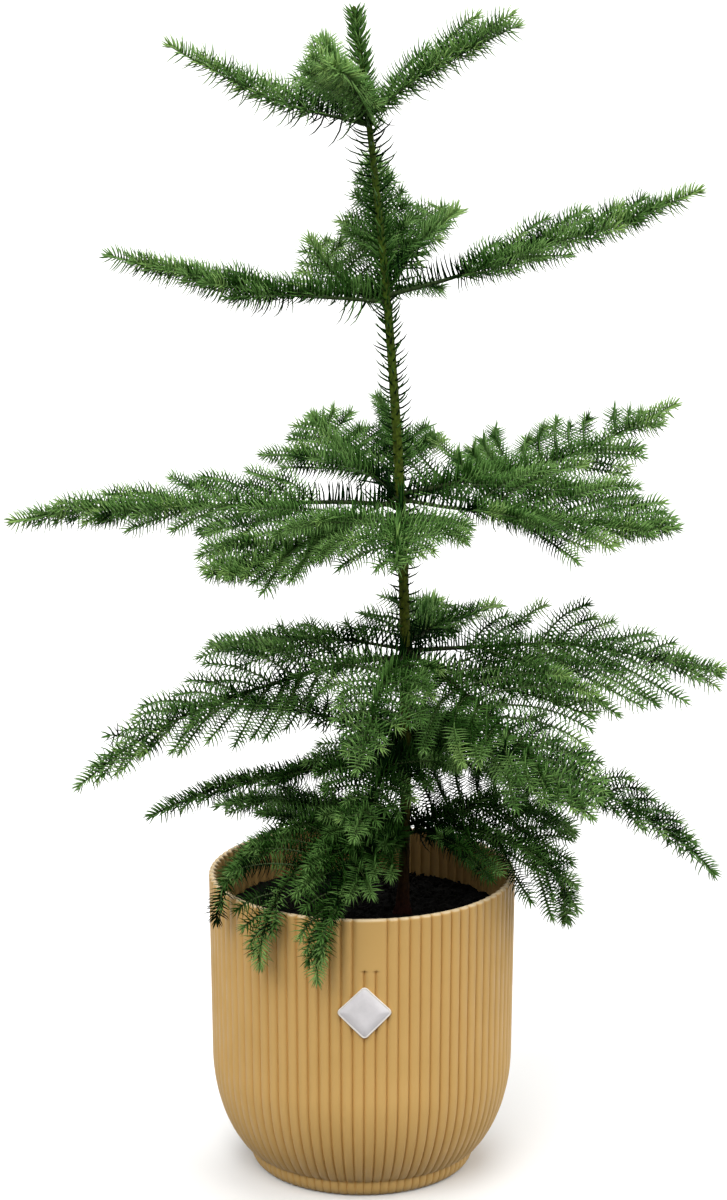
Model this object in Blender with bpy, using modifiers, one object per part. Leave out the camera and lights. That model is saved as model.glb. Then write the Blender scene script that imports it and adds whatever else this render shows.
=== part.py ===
"""A potted Norfolk Island pine: a young conifer with six whorls of flat fronds, in a ribbed pot.

Metres, +Z up. The origin is the middle of the pot's flat underside, and the pot's plain panel faces -Y.
A bearing is in degrees from +X towards +Y, so that -90 is the front.
"""

import math
import random
from typing import NamedTuple

import bmesh
import bpy
import numpy as np
from mathutils import Matrix, Vector
from mathutils.bvhtree import BVHTree

MM = 0.001
GAP = 0.3 * MM
WELD = 0.001 * MM
SEED = 11

# Pot
POT_HEIGHT = 179 * MM
POT_RADIUS = 90 * MM
WALL = 3 * MM
FLUTES = 84
FLUTE_DEPTH = 1.2 * MM
RIM_FLARE = 1.3 * MM
SHOULDER = 70 * MM
ROUND_END = math.radians(59)
ROUND_STEPS = 3
NECK_RADIUS = 67.9 * MM
FOOT_HEIGHT = 10 * MM
FOOT_TUCK = 1.3 * MM
FOOT_RADIUS = 66.6 * MM
FOOT_TURN_HEIGHT = 3.5 * MM
FOOT_TURN_RADIUS = 65.1 * MM
BASE_RADIUS = 61.6 * MM
FLOOR = 6 * MM
PANEL_FLUTES = 3
PANEL_HEIGHT = 31 * MM
PANEL_STEP = 0.8 * MM
FRONT = -math.pi / 2

# Tag
TAG_SIDE = 23 * MM
TAG_CORNER = 2.5 * MM
TAG_THICK = 0.8 * MM
TAG_HEIGHT = 123.5 * MM
TAG_TURN = math.radians(-2.1)
TAG_SLICES = 12
TAG_END = 0.2 * MM

# Soil and trunk
SOIL_TOP = 152 * MM
SOIL_SIDES = 48
SOIL_TUCK = 2 * MM
TRUNK_BASE_X = 24 * MM
TRUNK_SWAY = 17.5 * MM
TRUNK_LEAN = 46 * MM
TRUNK_TOP = 681 * MM
TRUNK_RADIUS = 3.1 * MM
TRUNK_TIP_RADIUS = 1.1 * MM
TAPER_POWER = 2.5
FLARE = 2.4 * MM
FLARE_HEIGHT = 9 * MM
TRUNK_STEPS = 15
TRUNK_FOOT_STEPS = (4 * MM, 10 * MM, 20 * MM)
TRUNK_SIDES = 8
LOWEST_NEEDLE = 330 * MM
NEEDLE_GAP = 7.5 * MM
LEADER_NEEDLE_GAP = 2.6 * MM
NEEDLE_LIFT = math.radians(22)
LEADER_NEEDLE_LIFT = math.radians(48)
NEEDLE_TURN = math.radians(137.5)
NEEDLE_JITTER = 0.15
WHORL_CLEAR = 5 * MM
NEEDLE = 12.5 * MM
NEEDLE_FOOT = 0.8 * MM
NEEDLE_POINT = 0.2 * MM

# Fronds
STAGGER = 8 * MM
GOLDEN = 0.618
BOUGH_RADIUS = 1.4 * MM
BOUGH_TAPER = 0.75
BOUGH_STEPS = 4
BOUGH_SIDES = 6
FRONT_LEAN = math.radians(18)
TWIG_GAP = 29 * MM
TWIG_ANGLE = (math.radians(82), math.radians(48))
TWIG_LIFT = (math.radians(16), math.radians(-10))
TWIG_CURL = math.radians(29)
TWIG_JITTER = 0.12
TWIG_SHARE_AT_ROOT = 0.72
TWIG_FULL_AT = 0.25
TWIG_FALL = 1.55
FIRST_PAIR = 0.75
SIDE_STEP = 0.2
TIP_ROOM = 0.6
ROOM_USED = 0.8
SHORTEST_TWIG = 15 * MM
CUT_BACK = (1, 0.75, 0.5)
ROOT_SINK = 0.6 * MM
TOOTH_GAP = 14 * MM
NOTCH_WIDTH = 2.2 * MM
TIP_WIDTH = 0.5 * MM
TOOTH_AT_ROOT = 0.45
TOOTH_AT_TIP = 0.35
TOOTH_GROWTH = 2.5
TOOTH_WIDTH = 9.5 * MM
TOOTH_SWEEP = 4.5 * MM
STEM_THICK = 2.0 * MM
TWIG_THICK = 1.1 * MM
CLEAR = 0.8 * MM


class Frond(NamedTuple):
    """A frond's bearing, length in mm, pitch at the trunk and tip, longest left and right twig, and how they spread.

    A spread of 1 sets the side twigs at the rule's own angles.
    """

    name: str
    bearing: float
    length: float
    pitch: float
    tip_pitch: float
    left_twig: float
    right_twig: float
    spread: float


class Whorl(NamedTuple):
    """A ring of fronds: its height in mm, the bare bough's share of a frond, how late the fronds bend."""

    name: str
    height: float
    bough: float
    bend: float
    fronds: tuple


WHORLS = (
    Whorl("top", 620, 0, 1, (
        Frond("left", 175, 120, 9, 34, 12, 35, 0.81),
        Frond("right", -17, 99, 39, 23, 59, 20, 0.5),
        Frond("front", -102, 102, 32, 11, 12, 55, 0.7),
        Frond("back", 102, 105, 18, 17, 42, 12, 0.86),
    )),
    Whorl("second", 520, 0.2, 1.15, (
        Frond("left", 169, 162, 1, 17, 37, 33, 0.5),
        Frond("back_right", 67, 130, 24, 1, 54, 12, 1.1),
        Frond("back_left", 114, 104, -7, 35, 37, 74, 1.1),
        Frond("back", 91, 119, 31, 35, 31, 29, 0.85),
        Frond("right", -1, 185, 16, 21, 39, 48, 0.59),
    )),
    Whorl("third", 402, 0.2, 1.15, (
        Frond("left", 170, 228, 1, -9, 58, 47, 0.76),
        Frond("back_left", 108, 150, 2, 14, 63, 79, 0.91),
        Frond("back", 43, 87, 7, 6, 90, 87, 1.1),
        Frond("back_right", 32, 208, -1, 18, 51, 63, 1.04),
        Frond("front_right", -13, 159, -6, -1, 76, 70, 0.65),
        Frond("front", -95, 137, 4, -8, 53, 94, 1.1),
        Frond("front_left", -141, 145, -15, -4, 73, 75, 0.62),
    )),
    Whorl("fourth", 312, 0.15, 1.15, (
        Frond("left", 192, 207, -1, -37, 72, 51, 0.85),
        Frond("back_left", 148, 132, 1, -15, 69, 24, 0.81),
        Frond("back", 79, 145, 3, -5, 44, 27, 0.97),
        Frond("back_right", 56, 115, 7, -10, 12, 12, 1.1),
        Frond("right", 1, 186, 6, -18, 51, 95, 0.86),
        Frond("right_low", -31, 120, -9, -10, 92, 12, 0.81),
        Frond("front_right", -60, 191, -12, -23, 79, 89, 0.72),
        Frond("front", -103, 161, 8, -28, 44, 46, 0.97),
    )),
    Whorl("fifth", 252, 0, 1.3, (
        Frond("left", 191, 155, 1, -22, 44, 12, 0.5),
        Frond("back_left", 145, 173, 13, -20, 12, 20, 1.1),
        Frond("back_right", 72, 161, 3, -31, 46, 42, 0.96),
        Frond("right", -12, 200, -1, -48, 52, 42, 1),
        Frond("front_left", -106, 132, 6, -21, 52, 55, 1),
    )),
    Whorl("lowest", 205, 0, 2, (
        Frond("right", -18, 126, 11, -101, 50, 86, 0.86),
        Frond("back_right", 21, 118, 9, -48, 73, 67, 1.1),
        Frond("back_left", 145, 135, 7, -22, 47, 33, 0.74),
        Frond("left", -154, 150, 14, -85, 42, 28, 0.5),
        Frond("front_left", -136, 154, 10, -95, 41, 64, 0.84),
        Frond("front", -119, 151, 10, -97, 53, 53, 0.5),
    )),
)


def start_clean():
    """Empties the scene; returns a collection for finished parts and one for shapes still being joined."""
    for thing in list(bpy.data.objects):
        bpy.data.objects.remove(thing)
    finished = bpy.data.collections.new("potted_norfolk_island_pine")
    joining = bpy.data.collections.new("joining")
    for group in (finished, joining):
        bpy.context.scene.collection.children.link(group)
    return finished, joining


def paint(name, colour, roughness):
    material = bpy.data.materials.new(name)
    material.use_nodes = True
    shader = material.node_tree.nodes["Principled BSDF"]
    shader.inputs["Base Color"].default_value = (*colour, 1)
    shader.inputs["Roughness"].default_value = roughness
    shader.inputs["Metallic"].default_value = 0
    material.diffuse_color = (*colour, 1)
    return material


def add_object(name, mesh, group, material=None):
    thing = bpy.data.objects.new(name, mesh)
    group.objects.link(thing)
    if material:
        mesh.materials.clear()
        mesh.materials.append(material)
    return thing


def mesh_from(name, points, faces):
    mesh = bpy.data.meshes.new(name)
    mesh.from_pydata([tuple(p) for p in points], [], faces)
    mesh.update()
    return mesh


def evaluated_mesh(thing):
    """The object's mesh with its modifiers applied, in world space and with its caps welded."""
    graph = bpy.context.evaluated_depsgraph_get()
    mesh = bpy.data.meshes.new_from_object(thing.evaluated_get(graph), depsgraph=graph)
    mesh.transform(thing.matrix_world)
    work = bmesh.new()
    work.from_mesh(mesh)
    bmesh.ops.remove_doubles(work, verts=work.verts, dist=WELD)
    work.to_mesh(mesh)
    work.free()
    return mesh


def turned(name, profile, steps, group):
    """A closed turned shape: the profile of radius and height pairs, run round +Z by a Screw modifier."""
    points = [(r, 0, z) for r, z in profile]
    edges = [(i, i + 1) for i in range(len(points) - 1)]
    mesh = bpy.data.meshes.new(name)
    mesh.from_pydata(points, edges, [])
    thing = add_object(name, mesh, group)
    screw = thing.modifiers.new("turn", "SCREW")
    screw.steps = steps
    screw.render_steps = steps
    screw.use_merge_vertices = True
    screw.merge_threshold = WELD
    finished = evaluated_mesh(thing)
    bpy.data.objects.remove(thing)
    return finished


def pot_wall_radius(z):
    """The outer radius: straight from the rim to the shoulder, then an elliptic arc in to the neck."""
    upright = POT_RADIUS - RIM_FLARE
    if z >= SHOULDER:
        return upright + RIM_FLARE * (z - SHOULDER) / (POT_HEIGHT - SHOULDER)
    drop = (SHOULDER - z) / (SHOULDER - FOOT_HEIGHT) * math.sin(ROUND_END)
    return upright - (upright - NECK_RADIUS) * (1 - math.sqrt(1 - drop * drop)) / (1 - math.cos(ROUND_END))


def press_flutes(mesh):
    """Draws every second column of the wall in by the groove's depth, except on the plain panel."""
    columns = 2 * FLUTES
    front_column = FRONT / math.tau * columns
    panel_foot = POT_HEIGHT - PANEL_HEIGHT
    for vertex in mesh.vertices:
        radius = math.hypot(vertex.co.x, vertex.co.y)
        if radius < WALL or vertex.co.z < FOOT_HEIGHT + WALL:
            continue
        angle = math.atan2(vertex.co.y, vertex.co.x)
        column = round(angle / math.tau * columns) % columns
        off_front = abs(math.remainder(column - front_column, columns))
        outside = radius > pot_wall_radius(vertex.co.z) - 0.5 * WALL
        on_panel = outside and round(off_front) < PANEL_FLUTES and vertex.co.z > panel_foot
        if column % 2 and not on_panel:
            vertex.co.xy *= (radius - FLUTE_DEPTH) / radius


def make_pot(group, material):
    """A thin ribbed wall with a rounded shoulder, a short smooth foot that rounds in to its flat base."""
    panel_foot = POT_HEIGHT - PANEL_HEIGHT
    inner_shoulder = pot_wall_radius(SHOULDER) - WALL
    profile = [
        (0, FLOOR),
        (FOOT_RADIUS - WALL, FLOOR),
        (inner_shoulder, SHOULDER),
        (POT_RADIUS - WALL, POT_HEIGHT),
        (POT_RADIUS, POT_HEIGHT),
        (pot_wall_radius(panel_foot), panel_foot + PANEL_STEP),
        (pot_wall_radius(panel_foot), panel_foot - PANEL_STEP),
    ]
    for step in range(ROUND_STEPS + 1):
        turn = ROUND_END * step / ROUND_STEPS
        height = SHOULDER - (SHOULDER - FOOT_HEIGHT) * math.sin(turn) / math.sin(ROUND_END)
        profile.append((pot_wall_radius(height), height))
    profile += [
        (FOOT_RADIUS, FOOT_HEIGHT - FOOT_TUCK),
        (FOOT_TURN_RADIUS, FOOT_TURN_HEIGHT),
        (BASE_RADIUS, 0),
        (0, 0),
    ]
    mesh = turned("pot", profile, 2 * FLUTES, group)
    press_flutes(mesh)
    return add_object("pot", mesh, group, material)


def make_soil(group, material):
    """The compost, flat on top, filling the pot to its inner wall."""
    inner = pot_wall_radius(SHOULDER) - WALL - FLUTE_DEPTH - GAP
    low = FLOOR + GAP
    profile = [
        (0, SOIL_TOP),
        (inner, SOIL_TOP),
        (inner, SHOULDER + SOIL_TUCK),
        (FOOT_RADIUS - WALL - SOIL_TUCK, low),
        (0, low),
    ]
    mesh = turned("soil", profile, SOIL_SIDES, group)
    return add_object("soil", mesh, group, material)


def tag_rise(across):
    """Half the height of a square stood on a rounded corner, at a distance from its middle."""
    half = TAG_SIDE / math.sqrt(2)
    middle = half - TAG_CORNER * math.sqrt(2)
    tangent = TAG_CORNER / math.sqrt(2)
    if across < tangent:
        return middle + math.sqrt(TAG_CORNER ** 2 - across ** 2)
    if across > half - tangent:
        return max(TAG_END, math.sqrt(max(0, TAG_CORNER ** 2 - (across - middle) ** 2)))
    return half - across


def make_tag(group, material):
    """A square plate on its corner, cut in upright slices and bent to lie on the flutes' crests."""
    reach = TAG_SIDE / math.sqrt(2) - TAG_CORNER * (math.sqrt(2) - 1)
    wall = pot_wall_radius(TAG_HEIGHT)
    points = []
    for radius in (wall + GAP, wall + GAP + TAG_THICK):
        for i in range(TAG_SLICES + 1):
            across = reach * math.sin(math.pi * (i / TAG_SLICES - 0.5))
            angle = FRONT + TAG_TURN + across / radius
            for side in (-1, 1):
                height = TAG_HEIGHT + side * tag_rise(abs(across))
                points.append((radius * math.cos(angle), radius * math.sin(angle), height))
    layer = 2 * (TAG_SLICES + 1)
    faces = [(0, layer, layer + 1, 1), (layer - 2, layer - 1, 2 * layer - 1, 2 * layer - 2)]
    for low in range(0, layer - 2, 2):
        near, far = (low, low + 1), (low + 2, low + 3)
        faces.append((near[0], near[1], far[1], far[0]))
        faces.append((near[0] + layer, far[0] + layer, far[1] + layer, near[1] + layer))
        faces.append((near[0], far[0], far[0] + layer, near[0] + layer))
        faces.append((near[1], near[1] + layer, far[1] + layer, far[1]))
    return add_object("tag", mesh_from("tag", points, faces), group, material)


def trunk_point(z):
    """The trunk's middle at a height: it bows to the right above the soil, then leans left to its tip."""
    share = (z - SOIL_TOP) / (TRUNK_TOP - SOIL_TOP)
    return Vector((TRUNK_BASE_X + TRUNK_SWAY * share - TRUNK_LEAN * share * share, 0, z))


def trunk_radius(z):
    share = (z - SOIL_TOP) / (TRUNK_TOP - SOIL_TOP)
    taper = TRUNK_RADIUS + (TRUNK_TIP_RADIUS - TRUNK_RADIUS) * share ** TAPER_POWER
    return taper + FLARE * math.exp(-(z - SOIL_TOP) / FLARE_HEIGHT)


def tube(name, points, radii, sides, group):
    """A tapering limb: a curve with filled caps, made a mesh with an even number of sides."""
    curve = bpy.data.curves.new(name, "CURVE")
    curve.dimensions = "3D"
    curve.bevel_depth = 1
    curve.bevel_resolution = (sides - 4) // 2
    curve.use_fill_caps = True
    line = curve.splines.new("POLY")
    line.points.add(len(points) - 1)
    for place, point, radius in zip(line.points, points, radii):
        place.co = (*point, 1)
        place.radius = radius
    thing = add_object(name, curve, group)
    mesh = evaluated_mesh(thing)
    bpy.data.objects.remove(thing)
    return mesh


def frond_height(whorl, frond):
    """Neighbours in a whorl leave the trunk a little above or below one another."""
    return whorl.height * MM + STAGGER * (whorl.fronds.index(frond) * GOLDEN % 1 - 0.5)


def frond_curve(whorl, frond, steps=60):
    """Points along a frond's stem from the trunk's middle, as its pitch runs from first to last value."""
    heading = math.radians(frond.bearing)
    flat = np.array([math.cos(heading), math.sin(heading), 0])
    share = (np.arange(steps) + 0.5) / steps
    pitch = np.radians(frond.pitch + (frond.tip_pitch - frond.pitch) * share ** whorl.bend)
    step = frond.length * MM / steps
    moves = (np.cos(pitch)[:, None] * flat + np.sin(pitch)[:, None] * np.array([0, 0, 1])) * step
    start = np.array(trunk_point(frond_height(whorl, frond)))
    return np.vstack([start, start + np.cumsum(moves, axis=0)])


def at_share(curve, share):
    """The point, tangent, left side and top of the stem at a share of its length, leaned low at the front."""
    place = min(max(share, 0), 1) * (len(curve) - 1)
    low = min(int(place), len(curve) - 2)
    point = Vector(curve[low] + (curve[low + 1] - curve[low]) * (place - low))
    tangent = Vector(curve[low + 1] - curve[low]).normalized()
    left = Vector((-tangent.y, tangent.x, 0)).normalized()
    lean = Matrix.Rotation(FRONT_LEAN * left.y, 3, tangent)
    left = lean @ left
    return point, tangent, left, tangent.cross(left)


def half_gap(whorl, frond):
    """Half the angle from a frond to its nearest neighbour in the whorl."""
    turns = [math.radians(other.bearing - frond.bearing) for other in whorl.fronds if other is not frond]
    return min(abs(math.remainder(turn, math.tau)) for turn in turns) / 2


def blade(stations, thickness):
    """A toothed plate: at each station its middle, forward, side and top directions and half its width."""
    points = []
    for middle, forward, side, top, half in stations:
        sweep = forward * TOOTH_SWEEP * max(0, half - NOTCH_WIDTH) / TOOTH_WIDTH
        for lift in (0.5, -0.5):
            for across in (1, -1):
                points.append(middle + side * across * half + sweep + top * lift * thickness)
    faces = [(0, 2, 3, 1)]
    for i in range(0, len(points) - 4, 4):
        faces.append((i, i + 1, i + 5, i + 4))
        faces.append((i + 2, i + 6, i + 7, i + 3))
        faces.append((i, i + 4, i + 6, i + 2))
        faces.append((i + 1, i + 3, i + 7, i + 5))
    end = len(points) - 4
    faces.append((end, end + 1, end + 3, end + 2))
    return points, faces


def tooth_widths(count, widest, spread):
    """Notches and teeth by turns, which open from the root and close to the tip."""
    widths = []
    for i in range(count + 1):
        opening = min(1, TOOTH_AT_ROOT + TOOTH_GROWTH * i / count)
        closing = min(1, TOOTH_AT_TIP + TOOTH_GROWTH * (1 - i / count))
        tooth = widest * opening * closing + spread
        widths.append(tooth if i % 2 else NOTCH_WIDTH + spread)
    widths[-1] = TIP_WIDTH + spread
    return widths


def stem_blade(curve, start, room):
    """The frond's own stem from a share of its length to the tip, kept inside its room in the whorl."""
    whole = sum(np.linalg.norm(np.diff(curve, axis=0), axis=1))
    count = 2 * max(2, round(whole * (1 - start) / TOOTH_GAP / 2))
    widths = tooth_widths(count, TOOTH_WIDTH, 0)
    stations = []
    for i in range(count + 1):
        share = start + (1 - start) * i / count
        point, tangent, left, top = at_share(curve, share)
        width = min(widths[i], ROOM_USED * math.tan(room) * share * whole)
        stations.append((point, tangent, left, top, width))
    return blade(stations, STEM_THICK)


def twig_blade(curve, share, side, length, angle, spread=0):
    """A side twig: it leaves the stem at an angle, curls forward, and rises and then droops.

    With a spread it is that much larger all round, to test its room.
    """
    root, tangent, left, top = at_share(curve, share)
    count = 2 * max(1, round(length / TOOTH_GAP / 2))
    widths = tooth_widths(count, TOOTH_WIDTH, spread)
    stations = []
    point = root - left * side * ROOT_SINK
    for i in range(count + 1):
        turn = angle - TWIG_CURL * i / count
        lift = TWIG_LIFT[0] + (TWIG_LIFT[1] - TWIG_LIFT[0]) * i / count
        flat = tangent * math.cos(turn) + left * side * math.sin(turn)
        forward = (flat * math.cos(lift) + top * math.sin(lift)).normalized()
        across = top.cross(forward).normalized()
        stations.append((point.copy(), forward, across, forward.cross(across), widths[i]))
        point += forward * length / count
    return blade(stations, TWIG_THICK + 2 * spread)


def tree_of(points, faces):
    return BVHTree.FromPolygons([tuple(p) for p in points], faces)


def touches(shape, others):
    mine = tree_of(*shape)
    return any(mine.overlap(other) for other in others)


def twig_length(along, longest):
    """Side twigs are fullest a quarter of the way out and shorten to the tip."""
    opening = min(1, along / TWIG_FULL_AT)
    return longest * (TWIG_SHARE_AT_ROOT + (1 - TWIG_SHARE_AT_ROOT) * opening) * (1 - along ** TWIG_FALL)


def frond_pieces(stem, curve, start, frond, others, dice):
    """The stem and the side twigs that clear all that is placed; one that touches is cut or left out."""
    pieces = [stem]
    leafy = frond.length * MM * (1 - start)
    pairs = max(2, int(leafy / TWIG_GAP))
    for i in range(pairs):
        for side, longest in ((-1, frond.right_twig), (1, frond.left_twig)):
            jitter = dice.uniform(-TWIG_JITTER, TWIG_JITTER)
            along = (i + FIRST_PAIR + SIDE_STEP * side + jitter) / (pairs + TIP_ROOM)
            length = twig_length(along, longest * MM) * (1 + dice.uniform(-TWIG_JITTER, TWIG_JITTER))
            by_rule = TWIG_ANGLE[0] + (TWIG_ANGLE[1] - TWIG_ANGLE[0]) * along
            angle = frond.spread * by_rule + jitter / 2
            share = start + (1 - start) * along
            for cut in CUT_BACK:
                if length * cut < SHORTEST_TWIG:
                    break
                if not touches(twig_blade(curve, share, side, length * cut, angle, CLEAR), others):
                    pieces.append(twig_blade(curve, share, side, length * cut, angle))
                    break
    return pieces


def is_whole(mesh):
    work = bmesh.new()
    work.from_mesh(mesh)
    closed = len(work.faces) > 0 and all(edge.is_manifold for edge in work.edges)
    solid = closed and work.calc_volume() > 0
    work.free()
    return solid


def keep_largest(mesh):
    """Drops loose scraps, so that one body is left."""
    work = bmesh.new()
    work.from_mesh(mesh)
    unseen = set(work.verts)
    bodies = []
    while unseen:
        body = [unseen.pop()]
        for vertex in body:
            near = {edge.other_vert(vertex) for edge in vertex.link_edges} & unseen
            unseen -= near
            body.extend(near)
        bodies.append(body)
    bodies.sort(key=len)
    scraps = [vertex for body in bodies[:-1] for vertex in body]
    bmesh.ops.delete(work, geom=scraps, context="VERTS")
    work.to_mesh(mesh)
    work.free()


def fuse(name, first, pieces, joining):
    """One Boolean union of the first mesh with the others, applied; the joined objects are then removed."""
    base = add_object(name + "_base", first, bpy.context.scene.collection)
    for i, (points, faces) in enumerate(pieces):
        add_object(f"{name}_{i}", mesh_from(name, points, faces), joining)
    union = base.modifiers.new("join", "BOOLEAN")
    union.operation = "UNION"
    union.operand_type = "COLLECTION"
    union.collection = joining
    for solver in ("EXACT", "MANIFOLD"):
        union.solver = solver
        mesh = evaluated_mesh(base)
        if is_whole(mesh):
            break
    for thing in (base, *joining.objects):
        bpy.data.objects.remove(thing)
    keep_largest(mesh)
    return mesh


def make_bough(name, curve, start, end, group, material):
    """One tapering limb along the frond's curve."""
    points, radii = [], []
    for i in range(BOUGH_STEPS + 1):
        along = i / BOUGH_STEPS
        points.append(at_share(curve, start + (end - start) * along)[0])
        radii.append(BOUGH_RADIUS * (1 - (1 - BOUGH_TAPER) * along))
    return add_object(name, tube(name, points, radii, BOUGH_SIDES, group), group, material)


def shape_of(thing):
    mesh = thing.data
    return [v.co.copy() for v in mesh.vertices], [tuple(p.vertices) for p in mesh.polygons]


def needle(root, outward, lift, length):
    """A three-sided needle: a slim cone from the stem's middle, swept up from straight out."""
    direction = (outward * math.cos(lift) + Vector((0, 0, math.sin(lift)))).normalized()
    work = bmesh.new()
    turn = direction.to_track_quat("Z", "Y").to_matrix().to_4x4()
    place = Matrix.Translation(root + direction * length / 2) @ turn
    bmesh.ops.create_cone(
        work, cap_ends=True, segments=3, radius1=NEEDLE_FOOT, radius2=NEEDLE_POINT, depth=length, matrix=place
    )
    points = [v.co.copy() for v in work.verts]
    faces = [tuple(v.index for v in face.verts) for face in work.faces]
    work.free()
    return points, faces


def trunk_needles(others, dice):
    """Needles in a golden-angle spiral, close on the leader and open between the upper whorls."""
    pieces = []
    turn = 0
    height = LOWEST_NEEDLE
    leader_foot = WHORLS[0].height * MM + WHORL_CLEAR
    while height < TRUNK_TOP - NEEDLE_GAP:
        on_leader = height > leader_foot
        height += LEADER_NEEDLE_GAP if on_leader else NEEDLE_GAP
        turn += NEEDLE_TURN
        if min(abs(height - whorl.height * MM) for whorl in WHORLS) < WHORL_CLEAR:
            continue
        outward = Vector((math.cos(turn), math.sin(turn), 0))
        lift = (LEADER_NEEDLE_LIFT if on_leader else NEEDLE_LIFT) + dice.uniform(-NEEDLE_JITTER, NEEDLE_JITTER)
        length = NEEDLE * (1 + dice.uniform(0, NEEDLE_JITTER))
        shape = needle(trunk_point(height), outward, lift, length)
        if not touches(shape, others):
            pieces.append(shape)
    return pieces


def make_trunk(group, material):
    """The whole stem from its flat cut at soil level to the leader's tip, without its needles."""
    cut = SOIL_TOP + GAP
    heights = [cut] + [SOIL_TOP + step for step in TRUNK_FOOT_STEPS]
    climb = (TRUNK_TOP - heights[-1]) / TRUNK_STEPS
    heights += [heights[-1] + climb * (i + 1) for i in range(TRUNK_STEPS)]
    points = [trunk_point(z) for z in heights]
    radii = [trunk_radius(z) for z in heights]
    mesh = tube("trunk", points, radii, TRUNK_SIDES, group)
    for vertex in mesh.vertices:
        if vertex.co.z < cut + GAP:
            vertex.co.z = cut
    return add_object("trunk", mesh, group, material)


def make_fronds(solids, trunk, group, joining, bark, leaf):
    """Every bough first, then the foliage masses one by one, each clear of all that came before."""
    planned = []
    for whorl in WHORLS:
        for frond in whorl.fronds:
            name = f"{whorl.name}_{frond.name}"
            curve = frond_curve(whorl, frond)
            steep = abs(math.sin(math.radians(frond.pitch)))
            surface = trunk_radius(whorl.height * MM) + GAP + BOUGH_RADIUS * steep
            start = surface / (frond.length * MM * math.cos(math.radians(frond.pitch)))
            if whorl.bough:
                limb = make_bough(name + "_bough", curve, start, whorl.bough, group, bark)
                solids[limb.name] = tree_of(*shape_of(limb))
                start = whorl.bough + GAP / (frond.length * MM)
            stem = stem_blade(curve, start, half_gap(whorl, frond))
            planned.append((name, curve, start, frond, stem))
    dice = random.Random(SEED)
    stems = {name: tree_of(*stem) for name, _, _, _, stem in planned}
    for name, curve, start, frond, stem in planned:
        others = list(solids.values()) + [other for owner, other in stems.items() if owner != name]
        stem, *twigs = frond_pieces(stem, curve, start, frond, others, dice)
        mesh = fuse(name, mesh_from(name, *stem), twigs, joining)
        made = add_object(name + "_foliage", mesh, group, leaf)
        solids[made.name] = tree_of(*shape_of(made))
    needles = trunk_needles([tree for name, tree in solids.items() if name != "trunk"], dice)
    old = trunk.data
    trunk.data = fuse("trunk", old.copy(), needles, joining)
    trunk.data.materials.clear()
    trunk.data.materials.append(bark)
    bpy.data.meshes.remove(old)


def main():
    group, joining = start_clean()
    clay = paint("pot_honey", (0.55, 0.34, 0.13), 0.55)
    compost = paint("compost", (0.035, 0.025, 0.018), 0.95)
    card = paint("tag_pale", (0.72, 0.72, 0.76), 0.5)
    bark = paint("young_bark", (0.11, 0.09, 0.03), 0.8)
    leaf = paint("needle_green", (0.05, 0.16, 0.04), 0.6)
    pot = make_pot(group, clay)
    soil = make_soil(group, compost)
    tag = make_tag(group, card)
    trunk = make_trunk(group, bark)
    solids = {thing.name: tree_of(*shape_of(thing)) for thing in (pot, soil, tag, trunk)}
    make_fronds(solids, trunk, group, joining, bark, leaf)
    bpy.data.collections.remove(joining)


main()
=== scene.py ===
"""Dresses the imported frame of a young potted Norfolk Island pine.

Metres, +Z up, the pot's plain panel towards -Y. A bearing is in degrees from +X towards +Y.
Each surface is worked out with numpy, and the plant grows again by the rule that its solids were made by,
from the same sizes, with its side twigs set closer and every needle a small bent spike of its own.
"""

from typing import NamedTuple

import bpy
import numpy as np
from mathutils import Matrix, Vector


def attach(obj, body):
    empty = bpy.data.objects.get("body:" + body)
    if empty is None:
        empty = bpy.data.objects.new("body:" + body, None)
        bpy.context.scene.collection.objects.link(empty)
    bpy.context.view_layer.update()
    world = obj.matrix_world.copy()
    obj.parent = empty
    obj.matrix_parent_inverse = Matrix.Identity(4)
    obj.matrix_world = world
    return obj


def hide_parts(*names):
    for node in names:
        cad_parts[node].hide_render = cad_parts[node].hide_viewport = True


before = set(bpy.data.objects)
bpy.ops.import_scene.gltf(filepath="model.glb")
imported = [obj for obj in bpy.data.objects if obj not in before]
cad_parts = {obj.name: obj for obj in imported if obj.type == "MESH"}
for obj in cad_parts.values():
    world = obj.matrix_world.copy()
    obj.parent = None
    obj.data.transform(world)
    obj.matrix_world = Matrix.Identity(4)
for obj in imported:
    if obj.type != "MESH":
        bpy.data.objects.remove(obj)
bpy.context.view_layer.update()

MM = 0.001
GAP = 0.3 * MM
TINY = 1e-6
SEED = 11
UP = np.array([0.0, 0.0, 1.0])

# Pot
POT_HEIGHT = 179 * MM
POT_RADIUS = 90 * MM
WALL = 3 * MM
FLUTES = 84
FLUTE_COLUMNS = 10
FLUTE_DEPTH = 2.1 * MM
FLUTE_SHARPNESS = 3.4
FLUTE_SHARE_AT_FOOT = 0.4
FLUTE_RISE = 20 * MM
RIM_DIP = 0.9 * MM
RIM_SHARPNESS = 3
RIM_DIP_FROM = 4 * MM
RIM_DIP_WHOLE = 1 * MM
RIM_FLARE = 1.3 * MM
SHOULDER = 70 * MM
ROUND_END = np.radians(59)
NECK_RADIUS = 67.9 * MM
FOOT_HEIGHT = 10 * MM
FLOOR = 6 * MM
FLOOR_RADIUS = 61 * MM
PANEL_FLUTES = 3
PANEL_HEIGHT = 31 * MM
PANEL_EDGE = 0.7 * MM
FRONT = -np.pi / 2

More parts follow.
